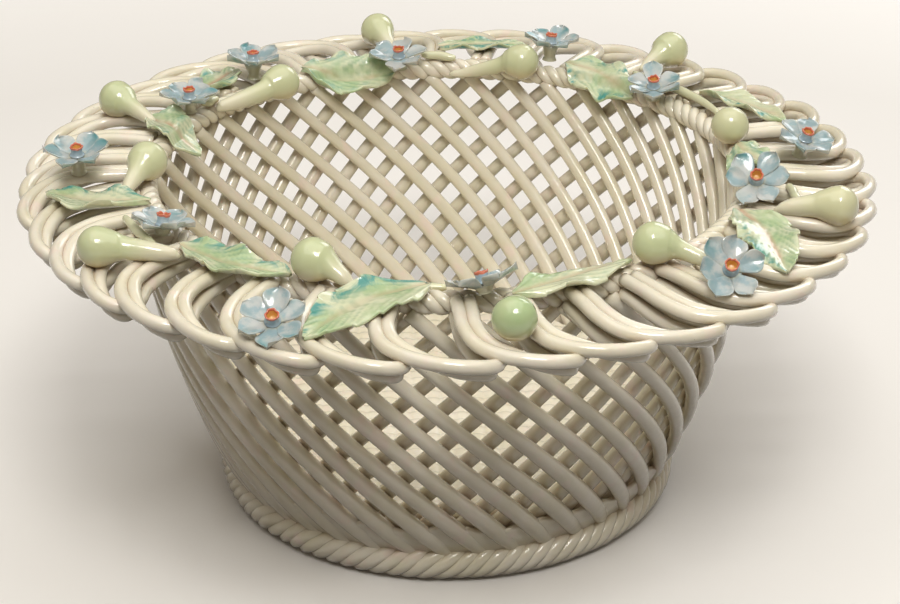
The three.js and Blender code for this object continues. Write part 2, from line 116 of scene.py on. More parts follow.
# Buds: turn, reach, aim of the stem, length to the stem's end and radius of the ball
BUDS = (
    (158.8, 87.7, 317, 14.5, 4.7), (189.2, 69.9, 252, 12.5, 4.7), (216.5, 92.0, 2, 17.0, 4.55),
    (247.0, 70.6, 332, 10.5, 4.8), (278.6, 90.2, 80, 10.5, 4.7), (307.8, 71.5, 350, 15.0, 4.7),
    (339.2, 92.6, 172, 13.5, 4.6), (10.1, 69.0, 75, 11.0, 4.6), (49.5, 90.4, 222, 11.0, 4.85),
    (72.9, 65.4, 168, 18.5, 4.7), (102.6, 86.1, 292, 11.0, 4.6), (131.0, 64.8, 222, 20.0, 4.7),
)
# The buds with thicker necks
STOUT_BUDS = (2, 6, 11)
# How green each bud is: 0 is straw, 1 is mint
BUD_MINT = (0.45, 0.3, 0.45, 0.45, 1.0, 0.5, 0.05, 0.15, 0.35, 0.3, 0.35, 0.35)
BUD_SIDES = 32

# Twigs: turn and reach of the start, then of the end
TWIGS = (
    (206.5, 79.4, 219.0, 80.2), (257.0, 67.0, 270.0, 67.0), (347.0, 79.9, 341.0, 83.8),
    (22.2, 72.5, 49.5, 74.2), (88.2, 69.0, 95.5, 70.6), (146.6, 69.5, 150.6, 70.0),
)
TWIG_RADIUS = 1.12
TWIG_PERCH = 0.95
TWIG_STATIONS = 30

# Flowers: lean, direction of the lean, spin and height of the funnel. Their places come from the frame.
FLOWERS = (
    (8, 270, 10, 5.0), (12, 60, 0, 2.5), (25, 270, 25, 4.0), (26, 125, 0, 2.5), (38, 270, 5, 4.5),
    (38, 265, 0, 4.5), (18, 310, 15, 5.0), (15, 262, 28, 3.8), (4, 20, 0, 5.0), (12, 255, 20, 3.8),
    (4, 90, 40, 5.0), (4, 300, 12, 4.0),
)
PETALS = 6
PETAL_START = 1.0
PETAL_LENGTH = 6.4
PETAL_HALF_WIDTHS = ((0.9,), (1.3,), (1.95,), (2.5,), (2.7,), (2.15,), (0.15,))
PETAL_STATIONS = 26
PETAL_SIDES = 22
PETAL_TEALS = (0.1, 0.6, 1.0)
# Radius and share of the height
FUNNEL_PROFILE = (
    (1.9, 0.0), (1.55, 0.18), (1.6, 0.4), (1.9, 0.66), (2.3, 0.88), (2.4, 0.97), (1.9, 1.0), (0.3, 1.0),
)
FUNNEL_STATIONS = 34
FUNNEL_SIDES = 28
# Radius and height above the funnel, up the outside, over the lip and down the inside
CORONA_PROFILE = (
    (0.2, 0.3), (0.75, 0.4), (0.95, 0.95), (1.05, 1.6), (1.1, 2.0), (1.28, 2.22), (1.52, 2.1), (1.46, 1.65),
    (1.3, 1.0), (1.4, 0.1), (1.7, -0.3), (0.2, -0.4),
)
CORONA_MIDDLE = 2.1
CORONA_STATIONS = 44
CORONA_INSIDE = 16
CORONA_SIDES = 32

# Leaves: turn, reach, aim of the tip, length and width
LEAVES = (
    (196.1, 81.8, 160, 26.0, 12.5), (163.0, 70.2, 332, 15.0, 15.5), (139.5, 78.0, 66, 18.5, 11.0),
    (232.0, 73.5, 329, 28.5, 11.0), (258.9, 81.6, 220, 31.5, 14.0), (112.8, 68.3, 14, 24.5, 10.5),
    (83.4, 78.5, 6, 23.5, 9.0), (55.2, 68.3, 316, 22.5, 11.5), (24.5, 80.5, 319, 27.0, 8.5),
    (1.0, 71.2, 287, 13.5, 10.0), (326.0, 82.0, 283, 29.0, 13.5), (291.4, 71.1, 35, 30.5, 11.0),
)
# How teal each leaf is, and along which side: -1 right of its aim, 1 left, 0 both
LEAF_TEAL = (
    (1.0, -1), (0.5, 0), (0.9, 0), (0.8, 1), (1.0, -1), (0.5, 0),
    (0.9, 0), (1.0, 0), (1.0, -1), (1.0, 0), (0.8, -1), (0.1, 0),
)
# The leaves whose ribs show the most pink
PINK_RIBBED_LEAVES = (1, 2, 10)
# Share of the length, and share of the width there
LEAF_OUTLINE = (
    (0, 0.16), (0.05, 0.34), (0.15, 0.72), (0.3, 0.95), (0.48, 1.0), (0.66, 0.88), (0.82, 0.62), (0.93, 0.36),
    (1, 0.04),
)
LEAF_STATIONS = 120
LEAF_SIDES = 56
LEAF_DROOP = 0.7
TOOTH_LENGTH = 5.0
TOOTH_DEPTH = 0.13
VEIN_PITCH = 3.7
VEIN_SLANT = 2.4
VEIN_RELIEF = 0.13
RIB_WIDTH = 0.6
RIB_DEPTH = 0.4


def srgb(red, green, blue):
    return tuple(
        ((c / 255 + 0.055) / 1.055) ** 2.4 if c > 10 else c / 255 / 12.92 for c in (red, green, blue)
    ) + (1.0,)


# Curves and sections
def wall_radius(height):
    share = np.asarray(height, float) / WALL_HEIGHT
    return sum(factor * share**power for power, factor in enumerate(WALL_CUBIC))


def smooth(edge0, edge1, x):
    """0 at edge0 and 1 at edge1, with a soft start and end."""
    t = np.clip((np.asarray(x, float) - edge0) / (edge1 - edge0), 0, 1)
    return t * t * (3 - 2 * t)


def blurred(values, width):
    """The running mean of an odd number of values."""
    return np.convolve(np.pad(values, width // 2, "edge"), np.ones(width) / width, "valid")


def wobble(rng, x, amount, waves=4):
    """A smooth random curve of x in 0..1."""
    total = 0 * x
    for wave in range(1, waves + 1):
        total = total + rng.normal() * np.sin(2 * np.pi * (wave * 0.7 * x + rng.random())) / wave
    return amount * total


def ring_wobble(rng, turn, amount, counts):
    """A smooth random curve that closes around a ring."""
    return sum(rng.normal() * amount * np.sin(np.radians(turn * k) + rng.random() * 6) for k in counts)


def spline(points, steps):
    """Catmull-Rom through points of any dimension, evenly spaced in the knots."""
    p = np.asarray(points, float)
    p = np.vstack([2 * p[0] - p[1], p, 2 * p[-1] - p[-2]])
    t = np.linspace(0, len(p) - 3, steps)
    i = np.minimum(t.astype(int), len(p) - 4)
    f = (t - i)[:, None]
    a, b, c, d = p[i], p[i + 1], p[i + 2], p[i + 3]
    linear, square, cube = c - a, 2 * a - 5 * b + 4 * c - d, 3 * b - a - 3 * c + d
    return 0.5 * (2 * b + linear * f + square * f**2 + cube * f**3)


def circle(sides):
    """The angles around a closed section."""
    return np.linspace(0, 2 * np.pi, sides, endpoint=False)


def fuller(value, power):
    """A cosine or sine whose section is squarer for a power below 1."""
    return np.sign(value) * np.abs(value) ** power


def ring_point(turn, reach, height=0.0):
    angle = np.radians(turn)
    return np.stack([reach * np.cos(angle), reach * np.sin(angle), height + 0 * angle], -1)


def aimed(along, across, aim):
    """The x and y of what lies along an aim and across it, to the left."""
    angle = math.radians(aim)
    x = along * math.cos(angle) - across * math.sin(angle)
    y = along * math.sin(angle) + across * math.cos(angle)
    return x, y


def unit(v):
    return v / np.maximum(np.linalg.norm(v, axis=-1, keepdims=True), 1e-12)


def radial(path):
    return unit(path * (1, 1, 0))


def frames(path, facing, closed=False):
    """The two directions across a path, the first of them as near to facing as it can be."""
    if closed:
        tangent = unit(np.roll(path, -1, 0) - np.roll(path, 1, 0))
    else:
        tangent = unit(np.gradient(path, axis=0))
    facing = np.broadcast_to(facing, path.shape)
    normal = unit(facing - tangent * np.sum(facing * tangent, -1, keepdims=True))
    return normal, np.cross(tangent, normal)


def tube(path, facing, deep, wide, sides, closed=False, power=1.0):
    """Sweeps an oval section; deep is the half size along facing, wide the half size across."""
    normal, across = frames(path, facing, closed)
    angle = circle(sides)
    c, s = fuller(np.cos(angle), power), fuller(np.sin(angle), power)
    deep = np.broadcast_to(deep, len(path))[:, None, None]
    wide = np.broadcast_to(wide, len(path))[:, None, None]
    return path[:, None] + normal[:, None] * c[None, :, None] * deep + across[:, None] * s[None, :, None] * wide


def turned(profile, sides):
    """Turns a profile of radius and height about the Z axis."""
    angle = circle(sides)
    r, z = profile[:, 0, None], profile[:, 1, None]
    return np.stack([r * np.cos(angle), r * np.sin(angle), z + 0 * angle], -1)


def perch(reach, radius=0.0):
    """Height of the middle of a rod that rests on the rope and the rim, or of the surface for no radius."""
    reach = np.asarray(reach, float)
    inward = np.maximum(0, ROPE_RADIUS - reach)
    over = RIM_TOP + radius - RIM_FALL * np.maximum(0, reach - RIM_FALL_REACH)
    round_rope = ROPE_HALF + ROPE_CLEARANCE + radius
    shoulder = ROPE_HEIGHT + np.sqrt(np.maximum(0, round_rope**2 - inward**2))
    return np.minimum(over, shoulder)


# Meshes
def painted(shape, red=0.0, green=0.0, blue=0.0):
    """The three marks of each point of a grid, which the materials read."""
    marks = np.zeros((*shape[:2], 3))
    for channel, value in enumerate((red, green, blue)):
        marks[..., channel] = value
    return marks


class Soup:
    """Gathers closed grids into one mesh, with three painted marks a point."""

    def __init__(self):
        self.points, self.marks, self.faces, self.count = [], [], [], 0

    def grid(self, points, marks=None, closed=False):
        """points is (along, around, 3), closed around; it is closed along too, or else has two caps."""
        n, m = points.shape[:2]
        index = self.count + np.arange(n * m).reshape(n, m)
        marks = painted(points.shape) if marks is None else marks
        self.points.append(points.reshape(-1, 3))
        self.marks.append(marks.reshape(-1, 3))
        self.count += n * m
        rows = index if closed else index[:-1]
        after = np.roll(index, -1, 0) if closed else index[1:]
        right = np.roll(rows, -1, 1)
        after_right = np.roll(after, -1, 1)
        self.faces += np.stack([rows, right, after_right, after], -1).reshape(-1, 4).tolist()
        if closed:
            return
        for row, order in ((0, -1), (-1, 1)):
            self.points.append(points[row].mean(0)[None])
            self.marks.append(marks[row].mean(0)[None])
            ring = index[row]
            middle = np.full(m, self.count)
            self.count += 1
            self.faces += np.stack([middle, ring, np.roll(ring, -1)][::order], -1).tolist()

    def build(self, name, material, node):
        mesh = bpy.data.meshes.new(name)
        points = np.vstack(self.points) * MM
        mesh.from_pydata(points.tolist(), [], self.faces)
        marks = np.hstack([np.vstack(self.marks), np.ones((len(points), 1))])
        layer = mesh.attributes.new("marks", "FLOAT_COLOR", "POINT")
        layer.data.foreach_set("color", marks.astype(np.float32).ravel())
        mesh.polygons.foreach_set("use_smooth", [True] * len(mesh.polygons))
        mesh.materials.append(material)
        mesh.update()
        piece = bpy.data.objects.new(name, mesh)
        bpy.context.scene.collection.objects.link(piece)
        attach(piece, BODY)
        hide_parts(node)


# Materials
class Nodes:
    """A small builder of shader nodes: a socket is linked, and a number or a colour is set."""

    def __init__(self, owner):
        owner.use_nodes = True
        self.tree = owner.node_tree

    def put(self, value, socket):
        if isinstance(value, bpy.types.NodeSocket):
            self.tree.links.new(value, socket)
        else:
            socket.default_value = value

    def node(self, kind, inputs, **settings):
        node = self.tree.nodes.new("ShaderNode" + kind)
        for key, value in settings.items():
            setattr(node, key, value)
        for key, value in inputs.items():
            self.put(value, node.inputs[key])
        return node

    def math(self, kind, a, b):
        return self.node("Math", {0: a, 1: b}, operation=kind).outputs[0]

    def mix(self, factor, a, b):
        return self.node("Mix", {"Factor": factor, "A": a, "B": b}, data_type="RGBA").outputs["Result"]

    def ramp(self, value, low, high, out_low=0.0, out_high=1.0, kind="SMOOTHSTEP"):
        """out_low where value is low, out_high where it is high, and a ramp between them."""
        limits = {"Value": value, "From Min": low, "From Max": high, "To Min": out_low, "To Max": out_high}
        return self.node("MapRange", limits, interpolation_type=kind).outputs["Result"]


class Paint(Nodes):
    """Builds one material, in the coordinates of its object."""

    def __init__(self, name):
        self.material = bpy.data.materials.new(name)
        super().__init__(self.material)
        self.shader = self.tree.nodes["Principled BSDF"]
        self.place = self.node("TexCoord", {}).outputs["Object"]

    def noise(self, scale, detail=3.0, rough=0.5, distortion=0.0):
        inputs = {"Scale": scale, "Detail": detail, "Roughness": rough, "Distortion": distortion}
        return self.node("TexNoise", {"Vector": self.place, **inputs}).outputs["Fac"]

    def cells(self, scale):
        """Distance from the middle of the nearest cell."""
        return self.node("TexVoronoi", {"Vector": self.place, "Scale": scale}).outputs["Distance"]

    def marks(self):
        colour = self.node("Attribute", {}, attribute_name="marks").outputs["Color"]
        split = self.node("SeparateColor", {"Color": colour})
        return split.outputs["Red"], split.outputs["Green"], split.outputs["Blue"]

    def pool(self, colour, distance, share, crevice_shade):
        """Painted shade: a darker colour mixed in where the ambient occlusion finds the surface closed in, in
        crevices and between parts.
        """
        open_air = self.node("AmbientOcclusion", {"Distance": distance}, samples=6).outputs["AO"]
        crevice = self.ramp(open_air, 0.85, 0.15)
        return self.mix(self.math("MULTIPLY", crevice, share), colour, crevice_shade)

    def bump(self, height, strength, distance, normal=None):
        inputs = {"Height": height, "Strength": strength, "Distance": distance}
        if normal is not None:
            inputs["Normal"] = normal
        return self.node("Bump", inputs).outputs["Normal"]

    def glaze(self, colour, wave_scale, wave_height, rough):
        """Colour under a glossy coat, with slow waves, and fine pits in patches."""
        waves = self.bump(self.noise(wave_scale, 3, 0.55), 1.0, wave_height)
        pits = self.math("SUBTRACT", 1.0, self.ramp(self.cells(1100), 0.0, 0.22))
        patches = self.ramp(self.noise(260, 1), 0.56, 0.66)
        pitted = self.math("SUBTRACT", 1.0, self.math("MULTIPLY", pits, patches))
        values = {
            "Base Color": colour,
            "Roughness": self.ramp(self.noise(900, 4), 0.3, 0.7, *rough),
            "Normal": self.bump(pitted, 0.6, 0.00006, waves),
            "Coat Weight": 0.65,
            "Coat Roughness": 0.07,
            "Coat IOR": 1.5,
            "Specular IOR Level": 0.5,
            "Subsurface Weight": 0.12,
            "Subsurface Scale": 0.0015,
            "Subsurface Radius": (1.0, 0.75, 0.45),
        }
        for key, value in values.items():
            self.put(value, self.shader.inputs[key])
        return self.material


def porcelain():
    p = Paint("cream_porcelain")
    cream, ivory, warm = srgb(236, 230, 214), srgb(229, 223, 201), srgb(237, 223, 209)
    colour = p.mix(p.ramp(p.noise(70, 3), 0.35, 0.65), cream, ivory)
    colour = p.mix(p.ramp(p.noise(160, 2), 0.55, 0.75), colour, warm)
    # Painted shade: a mottled warm brown, mixed in where crevices close in, for the shade between strands and
    # loops
    crevice_shade = p.mix(p.ramp(p.noise(45, 2), 0.4, 0.6), srgb(168, 144, 108), srgb(180, 152, 126))
    colour = p.pool(colour, 0.003, 0.5, crevice_shade)
    specks = p.ramp(p.cells(420), 0.05, 0.02)
    specks = p.math("MULTIPLY", specks, p.ramp(p.noise(90, 1), 0.6, 0.64))
    colour = p.mix(specks, colour, srgb(120, 100, 75))
    return p.glaze(colour, 420, 0.00012, (0.14, 0.26))


def bud_glaze():
    p = Paint("bud_glaze")
    stem, blush, mint = p.marks()
    green = p.mix(mint, srgb(221, 220, 182), srgb(180, 203, 152))
    green = p.mix(p.ramp(p.noise(120, 3), 0.35, 0.75, 0.0, 0.5), green, srgb(212, 214, 174))
    colour = p.mix(blush, green, srgb(222, 200, 158))
    colour = p.mix(stem, colour, srgb(230, 224, 200))
    # Painted shade: a brown mixed in where crevices close in
    colour = p.pool(colour, 0.003, 0.6, srgb(165, 140, 95))
    return p.glaze(colour, 260, 0.00007, (0.12, 0.22))


def leaf_glaze():
    p = Paint("leaf_glaze")
    rib, vein, teal = p.marks()
    pale, green = srgb(216, 220, 188), srgb(176, 198, 152)
    colour = p.mix(p.ramp(p.noise(110, 4, 0.6), 0.4, 0.64), pale, green)
    streak = p.math("MULTIPLY", vein, p.ramp(p.noise(130, 3, 0.6), 0.36, 0.62, 0.0, 0.6))
    colour = p.mix(streak, colour, srgb(128, 164, 128))
    stain = p.math("MULTIPLY", teal, p.ramp(p.noise(150, 4, 0.6, 1.0), 0.46, 0.62))
    colour = p.mix(stain, colour, srgb(70, 150, 142))
    colour = p.mix(rib, colour, srgb(198, 160, 132))
    # Painted shade: a dark olive mixed in where crevices close in
    colour = p.pool(colour, 0.002, 0.5, srgb(140, 130, 85))
    return p.glaze(colour, 380, 0.00012, (0.12, 0.24))


def petal_glaze():
    p = Paint("petal_glaze")
    edge, foot, teal = p.marks()
    colour = p.mix(p.ramp(p.noise(230, 4, 0.6), 0.4, 0.6), srgb(190, 195, 193), srgb(150, 174, 180))
    stain = p.math("MULTIPLY", teal, p.ramp(p.noise(170, 3), 0.36, 0.58))
    colour = p.mix(stain, colour, srgb(88, 150, 156))
    colour = p.mix(p.math("MULTIPLY", edge, 0.5), colour, srgb(204, 206, 200))
    colour = p.mix(foot, colour, srgb(206, 204, 180))
    # Painted shade: a grey mixed in where crevices close in
    colour = p.pool(colour, 0.0015, 0.5, srgb(120, 125, 115))
    return p.glaze(colour, 500, 0.00009, (0.12, 0.24))


def corona_glaze():
    p = Paint("corona_glaze")
    coral, inside, _ = p.marks()
    colour = p.mix(p.ramp(p.noise(300, 2), 0.35, 0.65), srgb(178, 194, 202), srgb(150, 172, 186))
    colour = p.mix(inside, colour, srgb(222, 176, 100))
    smear = p.math("ADD", coral, p.ramp(p.noise(700, 3), 0.3, 0.7, -0.3, 0.3))
    colour = p.mix(p.ramp(smear, 0.35, 0.65), colour, srgb(206, 116, 90))
    return p.glaze(colour, 600, 0.00008, (0.12, 0.24))


CREAM, BUD, LEAF, PETAL, CORONA = porcelain(), bud_glaze(), leaf_glaze(), petal_glaze(), corona_glaze()


# Wall
def wall_layer(name, node, inset, direction, phase, low, high, width):
    """One layer of slanting strands, with its share of the low band."""
    rng = np.random.default_rng(SEED + len(name))
    soup = Soup()
    share = np.linspace(0, 1, STRAND_STATIONS)
    height = low + (high - low) * share
    tuck = 0.7 * smooth(13, 6, height)
    spread = (1 + 0.34 * smooth(56, 14, height)) * (1 - 0.12 * smooth(13, 7, height))
    taper = 1 - 0.25 * smooth(0.96, 1, share)
    for index in range(STRANDS):
        turn = phase + 360 * index / STRANDS + direction * STRAND_SLANT * (height - STRAND_LEVEL)
        turn = turn + wobble(rng, share, 0.12, 3)
        reach = wall_radius(height) - inset + wobble(rng, share, 0.06, 3) - tuck
        path = ring_point(turn, reach, height)
        swell = 1 + wobble(rng, share, 0.022, 6)
        deep, wide = STRAND_DEPTH / 2 * swell * taper, width / 2 * swell * spread
        soup.grid(tube(path, radial(path), deep, wide, ROD_SIDES, power=0.92))
    ring = np.linspace(0, 360, BAND_STATIONS, endpoint=False)
    top = BAND_TOP + ring_wobble(rng, ring, BAND_WAVE, BAND_WAVE_COUNTS)
    foot, head = wall_radius(low) - inset, wall_radius(BAND_TOP) - inset
    section = ((foot - 0.9, low), (foot + 0.5, low), (head + 0.35, top - 0.8), (head, top), (head - 0.8, top))
    soup.grid(np.stack([ring_point(ring, reach, height) for reach, height in section], 1), closed=True)
    soup.build(name, CREAM, node)


wall_layer(
    "inner_strands", "lattice_inner", inset=4.65, direction=1, phase=2.42, low=6.2, high=77.9, width=3.15
)
wall_layer(
    "outer_strands", "lattice_outer", inset=1.5, direction=-1, phase=4.0, low=3.6, high=77.6, width=3.3
)


# Ropes
def rope(name, node, radius, height, strands, twists, steps, direction, offset, deep, wide, core=None):
    """A closed rope. One with a core in its middle stands flat on the ground."""
    rng = np.random.default_rng(SEED + twists)
    soup = Soup()
    turn = np.linspace(0, 360, twists * steps, endpoint=False)
    middle = ring_point(turn, radius, height)
    out = radial(middle)
    uneven = ring_wobble(rng, turn, ROPE_WAVE, ROPE_WAVE_COUNTS)
    size = 1 + 0.3 * uneven
    tubes = []
    for strand in range(strands):
        psi = direction * twists * np.radians(turn) + 2 * np.pi * strand / strands + 0.8 * uneven
        path = middle + offset * (np.cos(psi)[:, None] * out + np.sin(psi)[:, None] * UP)
        tubes.append(tube(path, path - middle, deep * size, wide * size, 16, closed=True))
    if core:
        tubes.append(tube(middle, out, core, core, 24, closed=True))
    for points in tubes:
        if core:
            points[..., 2] = np.maximum(points[..., 2], 0.0)
        soup.grid(points, closed=True)
    soup.build(name, CREAM, node)


rope(
    "mouth_rope_twisted", "mouth_rope", ROPE_RADIUS, ROPE_HEIGHT,
    strands=3, twists=43, steps=24, direction=-1, offset=1.45, deep=1.28, wide=1.4,
)
rope(
    "foot_rope_twisted", "foot_ring", FOOT_RADIUS, FOOT_HEIGHT,
    strands=6, twists=15, steps=50, direction=1, offset=2.95, deep=1.45, wide=1.62, core=3.1,
)


# Rim
def rim():
    """Loops of two strands, which lie side by side at the rope and roll over at the outer end."""
    rng = np.random.default_rng(SEED)
    soup = Soup()
    knots = np.array(LOOP_KNOTS)
    outward = (knots[:, 2] - LOOP_INNER_REACH) / (LOOP_OUTER_REACH - LOOP_INNER_REACH)
    even_spacing = 360 / len(LOOP_TURNS)
    share = np.linspace(0, 1, LOOP_STATIONS)
    roll = np.radians(LOOP_ROLL) * smooth(0.24, 0.48, share) * (1 - 0.5 * smooth(0.66, 0.85, share))
    for tip, next_tip in zip(LOOP_TURNS, LOOP_TURNS[1:] + LOOP_TURNS[:1]):
        to_next = (next_tip - tip) % 360
        shear = -LOOP_SHEAR * math.cos(math.radians(tip - LOOP_SHEAR_TURN))
        turn = tip + knots[:, 0] + knots[:, 1] * (to_next - even_spacing) + shear * (1 - outward)
        reach = knots[:, 2] + outward * rng.normal() * 0.3
        height = knots[:, 3] + outward * rng.normal() * 0.2
        line = spline(np.stack([turn, reach, height], -1), LOOP_STATIONS)
        middle = ring_point(line[:, 0], line[:, 1], line[:, 2])
        upward, across = frames(middle, UP)
        apart = across * np.cos(roll)[:, None] + upward * np.sin(roll)[:, None]
        for side in (-1, 1):
            size = LOOP_STRAND * (1 + wobble(rng, share, 0.015, 5))
            gap = LOOP_STRAND * LOOP_STRAND_GAP + wobble(rng, share, 0.04, 3)
            path = middle + apart * side * gap[:, None]
            path[:, 2] += wobble(rng, share, 0.05, 3)
            soup.grid(tube(path, UP, size, size, ROD_SIDES))
    soup.build("rim_loops_paired", CREAM, "rim_loops")


rim()


# Woven floor
def weave_relief(x, y):
    """Height of the upper of two sets of ribbons that pass over and under each other."""

    def ribbon(along, across, sign):
        row = np.round(across)
        crown = np.sqrt(np.maximum(0, 1 - ((across - row) / WEAVE_HALF) ** 2))
        return sign * WEAVE_WAVE * np.cos(np.pi * (along + row)) + WEAVE_CROWN * crown

    x, y = x / WEAVE_PITCH, y / WEAVE_PITCH
    return np.maximum(ribbon(x, y, 1), ribbon(y, x, -1))


def woven_floor():
    low, high = (c.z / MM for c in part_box("floor"))
    line = np.linspace(-1, 1, FLOOR_CELLS)
    a, b = np.meshgrid(line, line, indexing="ij")
    x, y = a * np.sqrt(1 - b * b / 2) * FLOOR_REACH, b * np.sqrt(1 - a * a / 2) * FLOOR_REACH
    relief = weave_relief(x, y) - WEAVE_WAVE - WEAVE_CROWN
    soup = Soup()
    n = FLOOR_CELLS * FLOOR_CELLS
    index = np.arange(n).reshape(FLOOR_CELLS, FLOOR_CELLS)
    for z in (high - WEAVE_INSET + relief, low + WEAVE_INSET - relief):
        soup.points.append(np.stack([x, y, z], -1).reshape(-1, 3))
        soup.marks.append(np.zeros((n, 3)))
    a, b, c, d = index[:-1, :-1], index[1:, :-1], index[1:, 1:], index[:-1, 1:]
    soup.faces += np.stack([a, b, c, d], -1).reshape(-1, 4).tolist()
    soup.faces += (np.stack([d, c, b, a], -1).reshape(-1, 4) + n).tolist()
    edge = np.concatenate([index[:-1, 0], index[-1, :-1], index[:0:-1, -1], index[0, :0:-1]])
    after = np.roll(edge, -1)
    soup.faces += np.stack([edge, edge + n, after + n, after], -1).tolist()
    soup.build("woven_floor", CREAM, "floor")


woven_floor()


# Buds and twigs
def bud_profile(length, ball, stout):
    """Place along the axis and radius there: a ball, and a neck that thins towards the stem's end."""
    polar = np.linspace(0, np.pi * (0.66 if stout else 0.72), 28)
    xs, rs = -ball * np.cos(polar), ball * np.sin(polar)
    if stout:
        knots = [(4.2, 3.1), (6.0, 2.65), (0.6 * length + 2, 2.1), (length - 1, 1.3), (length, 0.8)]
    else:
        knots = [(4.2, 2.85), (6.0, 2.2), (0.6 * length + 2, 1.65), (length - 1, 1.05), (length, 0.7)]
    neck = spline([(xs[-1], rs[-1])] + knots, 34)[1:]
    xs = np.concatenate([xs, neck[:, 0], [length + 0.5]])
    rs = np.concatenate([np.maximum(rs, 0.02), neck[:, 1], [0.4]])
    on_neck = smooth(-0.5, 1.2, xs) * smooth(length, length - 1.5, xs)
    for _ in range(2):
        rs = rs + (blurred(rs, 9) - rs) * on_neck
    return xs, rs


def bud(index, turn, reach, aim, length, ball):
    rng = np.random.default_rng(SEED + 100 + index)
    name = f"bud_{index + 1:02d}"
    xs, rs = bud_profile(length, ball, index in STOUT_BUDS)
    angle = circle(BUD_SIDES)
    along = smooth(2.5, 0.85 * length, xs)
    across, up = rs[:, None] * np.cos(angle), rs[:, None] * np.sin(angle)
    bend = rng.normal() * 0.7 * along[:, None]
    centre = ring_point(turn, reach)
    x, y = aimed(xs[:, None], across + bend, aim)
    x, y = x + centre[0], y + centre[1]
    axis_x, axis_y = aimed(xs, 0, aim)
    axis_reach = np.hypot(centre[0] + axis_x, centre[1] + axis_y)
    ball_height = float(perch(reach, 0.86 * ball))
    axis_height = blurred(ball_height + (perch(axis_reach, 0.9 * rs) - ball_height) * along, 13)
    # The underside is pressed flat on what it rests on
    z = np.maximum(up + axis_height[:, None], np.where(up < 0, perch(np.hypot(x, y)) - 0.15, 0))
    marks = painted(
        z.shape,
        red=smooth(3.5, length * 0.9, xs)[:, None] * 0.9,
        green=smooth(0.1, -0.9, up / ball) * 0.7 * (1 - along[:, None]),
        blue=BUD_MINT[index],
    )
    soup = Soup()
    soup.grid(np.stack([x, y, z], -1), marks)
    soup.build("glazed_" + name, BUD, name)


def twig(index, turn, reach, end_turn, end_reach):
    rng = np.random.default_rng(SEED + 200 + index)
    name = f"twig_{index + 1:02d}"
    share = np.linspace(0, 1, TWIG_STATIONS)
    line_reach = reach + (end_reach - reach) * share + wobble(rng, share, 0.3, 2)
    height = perch(line_reach, TWIG_PERCH) + wobble(rng, share, 0.08, 3)
    path = ring_point(turn + (end_turn - turn) * share, line_reach, height)
    size = TWIG_RADIUS * (1 + wobble(rng, share, 0.04, 5)) * (0.55 + 0.45 * np.sin(np.pi * share) ** 0.5)
    points = tube(path, UP, size, size, ROD_SIDES)
    soup = Soup()
    soup.grid(points, painted(points.shape, red=0.4, blue=0.4))
    soup.build("stem_" + name, BUD, name)


for number, place in enumerate(BUDS):
    bud(number, *place)
for number, place in enumerate(TWIGS):
    twig(number, *place)


# Flowers
def lean_matrix(lean, toward):
    """Turns +Z by lean degrees towards a direction."""
    x, y = -math.sin(math.radians(toward)), math.cos(math.radians(toward))
    a = math.radians(lean)
    k = np.array([[0, 0, y], [0, 0, -x], [-y, x, 0]])
    return np.eye(3) + math.sin(a) * k + (1 - math.cos(a)) * k @ k


def petal(rng, turn, lift, height):
    """One wide spoon-shaped petal, pointing along turn, with its marks."""
    share = np.linspace(0, 1, PETAL_STATIONS)
    out = PETAL_START + (PETAL_LENGTH + rng.normal() * 0.25) * share
    width = spline(PETAL_HALF_WIDTHS, PETAL_STATIONS)[:, 0] * (1 + rng.normal() * 0.05)
    rise = height - 0.95 + lift * (1 - np.cos(share * 1.5)) + 0.7 * np.sin(share * 2.4)
    share, rise = share[:, None], rise[:, None]
    angle = circle(PETAL_SIDES)
    c, s = fuller(np.cos(angle), 0.75), fuller(np.sin(angle), 0.8)
    crease = 0.22 * np.exp(-((c / 0.25) ** 2)) * smooth(0.2, 0.6, share)
    cup = 0.85 * smooth(0.1, 0.7, share) * c**2 - crease
    tilt = rng.normal() * 0.35 * share * c
    frill = 0.2 * np.sin(6 * share + rng.random() * 6) * c**2
    z = rise + cup + 0.38 * s + tilt + frill
    x, y = aimed(out[:, None], np.maximum(width, 0.1)[:, None] * c, turn)
    teal_side = 0.5 + 0.5 * np.clip(c * rng.choice((-1, 1)) * 1.4, -1, 1)
    marks = painted(
        z.shape,
        red=smooth(0.75, 1.0, np.abs(c)) * smooth(0.2, 0.5, share) + smooth(0.9, 1, share),
        green=1 - smooth(0.0, 0.25, share),
        blue=rng.choice(PETAL_TEALS) * smooth(0.25, 0.9, share) * teal_side,
    )
    return np.stack([x, y, z], -1), np.clip(marks, 0, 1)


